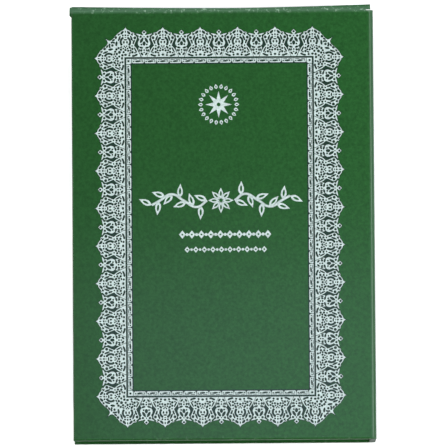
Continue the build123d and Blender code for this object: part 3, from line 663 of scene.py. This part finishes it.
def vineTree():
    # a stem along a path with leaves on alternate sides, and the same turned half round
    tree, given = newTree("leafScroll", [
        ("Path", "Object"), ("Leaf", "Object"), ("Leaves", "Int"), ("Stem Radius", "Float"),
        ("Stem Sides", "Int"), ("Leaf Angle", "Float")])
    profile = addNode(tree, "GeometryNodeCurvePrimitiveCircle", {
        "Resolution": given["Stem Sides"], "Radius": given["Stem Radius"]})
    stem = addNode(tree, "GeometryNodeCurveToMesh", {
        0: given["Path"], 1: profile.outputs[0], "Fill Caps": True})
    spots = addNode(tree, "GeometryNodeCurveToPoints", {
        "Curve": given["Path"], "Count": given["Leaves"]}, mode="COUNT")
    along = addNode(tree, "ShaderNodeSeparateXYZ", {0: spots.outputs["Tangent"]}).outputs
    heading = addNode(tree, "ShaderNodeMath", {0: along[1], 1: along[0]}, operation="ARCTAN2")
    index = addNode(tree, "GeometryNodeInputIndex")
    odd = addNode(tree, "ShaderNodeMath", {0: index.outputs[0], 1: 2.0}, operation="MODULO")
    side = addNode(tree, "ShaderNodeMath", {0: odd.outputs[0], 1: 2.0, 2: -1.0}, operation="MULTIPLY_ADD")
    angle = addNode(tree, "ShaderNodeMath", {
        0: side.outputs[0], 1: given["Leaf Angle"], 2: heading.outputs[0]}, operation="MULTIPLY_ADD")
    turn = addNode(tree, "ShaderNodeCombineXYZ", {2: angle.outputs[0]})
    leaves = addNode(tree, "GeometryNodeInstanceOnPoints", {
        "Points": spots.outputs[0], "Instance": given["Leaf"], "Rotation": turn.outputs[0]})
    half = addNode(tree, "GeometryNodeJoinGeometry")
    tree.links.new(stem.outputs[0], half.inputs[0])
    tree.links.new(leaves.outputs[0], half.inputs[0])
    other = addNode(tree, "GeometryNodeTransform", {
        "Geometry": half.outputs[0], "Rotation": (0, 0, math.pi)})
    whole = addNode(tree, "GeometryNodeJoinGeometry")
    tree.links.new(half.outputs[0], whole.inputs[0])
    tree.links.new(other.outputs[0], whole.inputs[0])
    return closeTree(tree, given, whole.outputs[0])


ringOfMotifs = ringTree()
rowOfMotifs = rowTree()

leafShares = (0.35, 0.25, 0.7)  # of its length: the widest place, the start and the end of its vein


def leafShape(length, width, vein):
    widest, veinStart, veinEnd = [length * share for share in leafShares]
    outline = [(0, 0, 1), (widest, -width / 2), (length, 0, 1), (widest, width / 2)]
    return flatShape("leaf", [outline], [slit(veinStart, 0, veinEnd, 0, vein)])


def starShape(points, outer, inner, hole):
    turns = [(math.pi * i / points, inner if i % 2 else outer) for i in range(2 * points)]
    return flatShape("star", [[(r * math.cos(t), r * math.sin(t), 1) for t, r in turns]], [dot(0, 0, hole)])


# a leaf is length, width and vein; a star is points, outer and inner radius and hole
medallion = {"place": (-0.95, 27.8), "ringRadius": 3.65, "leaves": 22, "leaf": (1.15, 0.8, 0.2),
             "star": (8, 3.1, 1.25, 0.45)}
titleBand = {"place": (-0.58, 5.5), "petals": 8, "petal": (2.6, 1.15, 0.25), "petalStart": 0.35,
             "leaves": 9, "leaf": (3.3, 1.35, 0.3), "leafAngle": 0.95, "stemRadius": 0.3, "stemSides": 6,
             "path": [(3.2, 0.0), (5.6, 1.5), (8.6, 0.0), (11.4, -1.5), (14.2, 0.0), (16.0, 1.0)]}
beadRows = [
    {"place": (0.35, -2.4), "count": 10, "step": 2.2, "diamond": (0.78, 0.95), "hole": 0.22, "bead": 0.36},
    {"place": (0.47, -5.9), "count": 10, "step": 1.98, "diamond": (0.62, 0.72), "hole": 0.22, "bead": 0.3}]


def coverSpot(place):
    return Vector((place[0] * mm, place[1] * mm, inkLevel))


def pathCurve(points):
    curve = bpy.data.curves.new("stemPath", "CURVE")
    spline = curve.splines.new("BEZIER")
    spline.bezier_points.add(len(points) - 1)
    for point, spot in zip(spline.bezier_points, points):
        point.co = (spot[0], spot[1], 0)
    for point in spline.bezier_points:
        point.handle_left_type = point.handle_right_type = "AUTO"
    return curve


def printMiddle():
    spot = coverSpot(medallion["place"])
    wreath = grow(ringOfMotifs, "wreath", {
        "Motif": leafShape(*medallion["leaf"]), "Count": medallion["leaves"],
        "Radius": medallion["ringRadius"], "Ink": silverInk})
    layPrint("medallionWreath", wreath, mm, spot, "cover", inkThickness)
    star = starShape(*medallion["star"])
    star.materials.append(silverInk)
    layPrint("medallionStar", star, mm, spot, "cover", inkThickness)
    spot = coverSpot(titleBand["place"])
    rosette = grow(ringOfMotifs, "rosette", {
        "Motif": leafShape(*titleBand["petal"]), "Count": titleBand["petals"],
        "Radius": titleBand["petalStart"], "Ink": silverInk})
    layPrint("titleRosette", rosette, mm, spot, "cover", inkThickness)
    path = bpy.data.objects.new("stemPath", pathCurve(titleBand["path"]))
    bpy.context.collection.objects.link(path)
    scroll = grow(vineTree(), "scroll", {
        "Path": path, "Leaf": leafShape(*titleBand["leaf"]), "Leaves": titleBand["leaves"],
        "Stem Radius": titleBand["stemRadius"], "Stem Sides": titleBand["stemSides"],
        "Leaf Angle": titleBand["leafAngle"], "Ink": silverInk})
    bpy.data.objects.remove(path)
    layPrint("titleScroll", scroll, mm, spot, "cover", inkThickness)
    for number, row in enumerate(beadRows):
        wide, tall = row["diamond"]
        diamond = flatShape("diamond", [[(wide, 0, 1), (0, tall, 1), (-wide, 0, 1), (0, -tall, 1)]],
                            [dot(0, 0, row["hole"])])
        beads = grow(rowOfMotifs, "beads", {
            "Large": diamond, "Small": flatShape("bead", [dot(0, 0, row["bead"])]), "Count": row["count"],
            "Step": row["step"], "Ink": silverInk})
        layPrint(f"beadRow{number + 1}", beads, mm, coverSpot(row["place"]), "cover", inkThickness)


printMiddle()


def loft(name, sections, material, sharpFrom=40):
    # closed loops of points skinned from first to last and capped, edges sharp from an angle in degrees
    count = len(sections[0])
    last = (len(sections) - 1) * count
    faces = [(s + i, s + (i + 1) % count, s + count + (i + 1) % count, s + count + i)
             for s in range(0, last, count) for i in range(count)]
    faces += [tuple(range(count)), tuple(range(last, last + count))]
    mesh = bpy.data.meshes.new(name)
    mesh.from_pydata([tuple(point) for section in sections for point in section], [], faces)
    shape = bmesh.new()
    shape.from_mesh(mesh)
    bmesh.ops.recalc_face_normals(shape, faces=shape.faces)
    shape.to_mesh(mesh)
    shape.free()
    mesh.shade_smooth()
    mesh.set_sharp_from_angle(angle=math.radians(sharpFrom))
    return newPiece(name, mesh, material)


# the wrap from board to board: flat on the spine, rounded over both creases
spineShape = {"arcSteps": 10, "fold": 0.15, "foldSteps": 3, "tail": 49.95, "shadedEndFacing": 0.9}


def quarterTurn(steps):
    return [math.pi / 2 * i / steps for i in range(steps + 1)]


def strip(outer, inner):
    return [[(x, y, z) for x, z in outer + inner[::-1]] for y in (-spineShape["tail"] * mm, spineEnd)]


def creaseArc(centreZ, radius, up):
    arc = [(creaseX + radius * math.cos(t), centreZ + up * radius * math.sin(t))
           for t in quarterTurn(spineShape["arcSteps"])]
    return arc + [(wrapEnd, centreZ + up * radius)]


def spinePaper():
    # seen from the head: down the outside of the board and folded in over both its ends
    boardLow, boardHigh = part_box("spine_board")
    fold = spineShape["fold"] * mm
    outline = []
    for end, step in ((spineEnd, 1), (spineShape["tail"] * mm, -1)):
        half = [(halfWidth - fold + fold * math.cos(t), end - fold + fold * math.sin(t))
                for t in quarterTurn(spineShape["foldSteps"])]
        half += [(boardLow.x, end), (boardLow.x, boardHigh.y), (boardHigh.x, boardHigh.y)]
        outline += [(x, y * step) for x, y in half[::step]]
    sections = [[(x, y, z) for x, y in outline] for z in (rearCreaseZ, frontCreaseZ)]
    panel = loft("spinePanel", sections, wrapPaper)
    # painted shade: its folded ends take the dark tray paper, standing in for the shadow of an end set back
    panel.data.materials.append(trayPaper)
    for face in panel.data.polygons:
        face.material_index = 1 if abs(face.normal.y) > spineShape["shadedEndFacing"] else 0
    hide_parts("spine_wrap")
    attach(panel, "spine")
    for name, centreZ, up in (("creaseFront", frontCreaseZ, 1), ("creaseRear", rearCreaseZ, -1)):
        outerArc = creaseArc(centreZ, creaseRadius, up)
        innerArc = creaseArc(centreZ, creaseRadius - paperThickness, up)
        piece = loft(name, strip(outerArc, innerArc), wrapPaper)
        if name == "creaseRear":
            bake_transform(piece)
        else:
            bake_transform(piece)


spinePaper()

# the wrap stands off the head edge of the front board, most of all at its two corners
headLip = {"left": -34.9, "right": 34.4, "stations": 16, "least": 0.35, "lowest": 0.53, "rise": (1.4, 2.2),
           "power": 1.55, "drop": 0.7, "tuck": 0.25, "below": 0.15}
# an ear of paper at the fore-edge corner: along the edge, how far it stands out, how far it sinks
cornerEar = {"sections": ((48.3, 0.03, 0.0), (48.8, 0.45, 0.0), (49.9, 0.45, 0.0), (50.75, 0.4, 0.5)),
             "drop": 0.35, "tuck": 0.2, "below": 0.2}


def paperFlap(name, stations):
    # one thickness of paper from its tucked edge to its free edge, points in millimetres
    down = Vector((0, 0, -paperThickness))
    sections = [[tucked * mm, free * mm, free * mm + down, tucked * mm + down] for tucked, free in stations]
    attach(loft(name, sections, wrapPaper), "cover")


def headEdge():
    lip, ear = [], []
    edge, left = halfHeight / mm, -halfWidth / mm
    for i in range(headLip["stations"] + 1):
        share = i / headLip["stations"]
        x = headLip["left"] + (headLip["right"] - headLip["left"]) * share
        rise = headLip["rise"][0 if share < headLip["lowest"] else 1]
        width = headLip["least"] + rise * abs(share - headLip["lowest"]) ** headLip["power"]
        top = coverTop / mm - headLip["below"]
        lip.append((Vector((x, edge - headLip["tuck"], top)),
                    Vector((x, edge + width, top - headLip["drop"] * width))))
    for y, reach, sink in cornerEar["sections"]:
        top = coverTop / mm - cornerEar["below"] - sink
        ear.append((Vector((left + cornerEar["tuck"], y, top)),
                    Vector((left - reach, y, top - cornerEar["drop"]))))
    paperFlap("headLip", lip)
    paperFlap("cornerEar", ear)


headEdge()
print("spine paper and head edge")

# compass scale: 40 parts to the circle, numbered by fives; a stroke is length and width
dialScale = {"parts": 40, "outer": 18.2, "long": (2.0, 0.32), "short": (1.1, 0.16), "numberRadius": 14.2,
             "numberHeight": 2.5, "numberStep": 5, "star": (8, 7.0, 2.7, 2.05), "inkThickness": 0.03}


def tick(length, width):
    half = width / 2
    return flatShape("tick", [[(-length, -half, 1), (0, -half, 1), (0, half, 1), (-length, half, 1)]])


def printDial():
    look = dialScale
    thick = look["inkThickness"] * mm
    middle = Vector((compassX, compassY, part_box("dial")[1].z + inkLift * thick))
    for name, count, stroke in (("dialParts", look["parts"], look["short"]),
                                ("dialFives", look["parts"] // look["numberStep"], look["long"])):
        ring = grow(ringOfMotifs, name, {
            "Motif": tick(*stroke), "Count": count, "Radius": look["outer"], "Ink": dialInk})
        layPrint(name, ring, mm, middle, "case", thick)
    star = starShape(*look["star"])
    star.materials.append(dialInk)
    layPrint("dialStar", star, mm, middle, "case", thick)
    # numbers read from outside the circle, clockwise from the head
    numbers = bmesh.new()
    for part in range(0, look["parts"], look["numberStep"]):
        text = bpy.data.curves.new("number", "FONT")
        text.body = str(part)
        text.size = look["numberHeight"]
        text.align_x, text.align_y = "CENTER", "CENTER"
        text.extrude = drawnDepth
        holder = bpy.data.objects.new("number", text)
        bpy.context.collection.objects.link(holder)
        mesh = plainMesh(holder)
        turn = -math.tau * part / look["parts"]
        mesh.transform(Matrix.Rotation(turn, 4, "Z") @ Matrix.Translation((0, look["numberRadius"], 0)))
        numbers.from_mesh(mesh)
    mesh = bpy.data.meshes.new("dialNumbers")
    numbers.to_mesh(mesh)
    numbers.free()
    mesh.materials.append(dialInk)
    layPrint("dialNumbers", mesh, mm, middle, "case", thick)


printDial()

# camera: straight down on the cover, leaning a little towards the tail
view = {"distance": 1.8, "lean": 4.8, "roll": 0.40, "frameWidth": 103.7, "aim": (0.1, 0.0), "sensor": 36,
        "farthest": 10}
cameraData = bpy.data.cameras.new("camera")
cameraData.sensor_width = view["sensor"]
cameraData.lens = view["sensor"] * view["distance"] / (view["frameWidth"] * mm)
cameraData.clip_end = view["farthest"]
camera = bpy.data.objects.new("camera", cameraData)
bpy.context.collection.objects.link(camera)
lean, roll = math.radians(view["lean"]), math.radians(view["roll"])
aim = Vector((view["aim"][0] * mm, view["aim"][1] * mm, coverTop))
camera.location = aim + Vector((0, -math.sin(lean), math.cos(lean))) * view["distance"]
camera.rotation_euler = (Matrix.Rotation(lean, 3, "X") @ Matrix.Rotation(-roll, 3, "Z")).to_euler()
bpy.context.scene.camera = camera

# pale paper floor
floorSheet = {"half": 3.0, "level": -0.2, "tones": ("#F0F0F0", "#F5F5F5"), "patch": 80.0, "grain": 2.0,
              "rough": (0.85, 0.95), "bump": 0.02, "depth": 0.02}
floorMesh = bpy.data.meshes.new("floor")
floorMesh.from_pydata([(x * floorSheet["half"], y * floorSheet["half"], floorSheet["level"] * mm)
                       for x, y in ((-1, -1), (1, -1), (1, 1), (-1, 1))], [], [(0, 1, 2, 3)])
newPiece("floor", floorMesh, mottled("palePaperFloor", floorSheet, {}))

# soft studio light: four panels round the table and a dim card overhead, to the right
lights = {"head": {"place": (0, 0.75, 1.1), "size": (0.8, 0.8), "power": 11.2},
          "tail": {"place": (0, -0.75, 1.1), "size": (0.8, 0.8), "power": 6.7},
          "left": {"place": (-0.75, -0.17, 1.1), "size": (0.8, 0.8), "power": 15.0},
          "right": {"place": (0.75, -0.17, 1.1), "size": (0.8, 0.8), "power": 15.0},
          "card": {"place": (0.2, -0.005, 0.6), "size": (0.5, 0.09), "power": 0.525, "tint": "#D0DAFF"}}
ambient = {"colour": (1, 1, 1, 1), "strength": 0.06}
for name, lamp in lights.items():
    data = bpy.data.lights.new(name, "AREA")
    data.shape = "RECTANGLE"
    data.size, data.size_y = lamp["size"]
    data.energy = lamp["power"]
    data.color = linear(lamp.get("tint", "#FFFFFF"))[:3]
    light = bpy.data.objects.new(name, data)
    bpy.context.collection.objects.link(light)
    light.location = lamp["place"]
    if name == "card":
        # lies flat, and the camera sees it only where the varnish reflects it
        light.visible_camera = False
    else:
        light.rotation_euler = (-Vector(lamp["place"])).to_track_quat("-Z", "Y").to_euler()
world = bpy.data.worlds.new("studio")
bpy.context.scene.world = world
world.use_nodes = True
background = world.node_tree.nodes["Background"]
background.inputs[0].default_value = ambient["colour"]
background.inputs[1].default_value = ambient["strength"]
bpy.context.scene.view_settings.view_transform = "Standard"
print("camera, floor and", len(lights), "lights")
